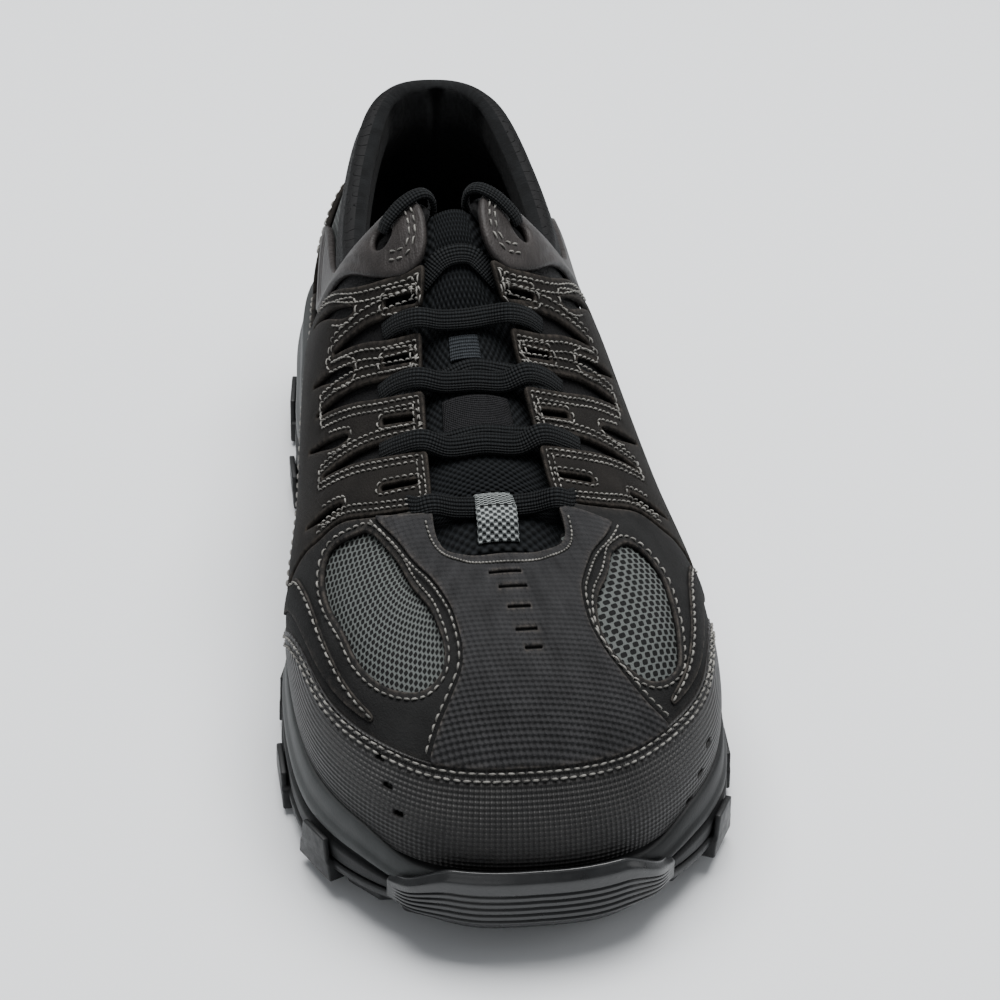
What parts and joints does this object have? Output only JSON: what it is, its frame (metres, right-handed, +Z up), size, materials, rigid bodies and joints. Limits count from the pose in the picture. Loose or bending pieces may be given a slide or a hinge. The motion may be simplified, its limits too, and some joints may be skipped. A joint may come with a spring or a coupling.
{
  "type": "safety sneaker",
  "caption": "Low steel-toe work sneaker for the left foot: hollow upper, stitched overlays, laces and a lugged rubber sole.",
  "frame": {"origin": "on the floor, under the middle of the sole's outline", "axes": "+X to the outer side of the left foot, +Y from toe to heel, +Z up"},
  "size_m": [0.128, 0.3152, 0.1296],
  "materials": {
    "black_rubber": "moulded rubber, satin",
    "grey_foam": "moulded foam, matt",
    "black_lining": "brushed lining cloth",
    "grey_mesh": "open sports mesh over dark lining",
    "embossed_leather": "embossed coated leather, satin",
    "charcoal_nubuck": "fine-grained nubuck, matt",
    "brown_black_nubuck": "brown-black nubuck, matt",
    "grey_leather": "smooth dark grey leather",
    "black_mesh": "black spacer mesh",
    "label_cloth": "plain woven label, bare",
    "grey_webbing": "grey and black woven tape",
    "black_lace": "woven oval lace"
  },
  "bodies": {
    "root": {"outsole": "black_rubber", "midsole": "grey_foam", "insole": "black_lining", "upper": "grey_mesh", "toe_cap": "embossed_leather", "vamp": "charcoal_nubuck", "heel_counter": "brown_black_nubuck", "eyestay_outer": "brown_black_nubuck", "eyestay_inner": "brown_black_nubuck", "top_eyestay_outer": "grey_leather", "top_eyestay_inner": "grey_leather", "mudguard_outer": "charcoal_nubuck", "mudguard_inner": "charcoal_nubuck", "tongue": "black_mesh", "tongue_label": "label_cloth", "lace_keeper": "grey_webbing", "lace": "black_lace", "lace_end_outer": "black_lace", "lace_end_inner": "black_lace"}
  },
  "joints": []
}
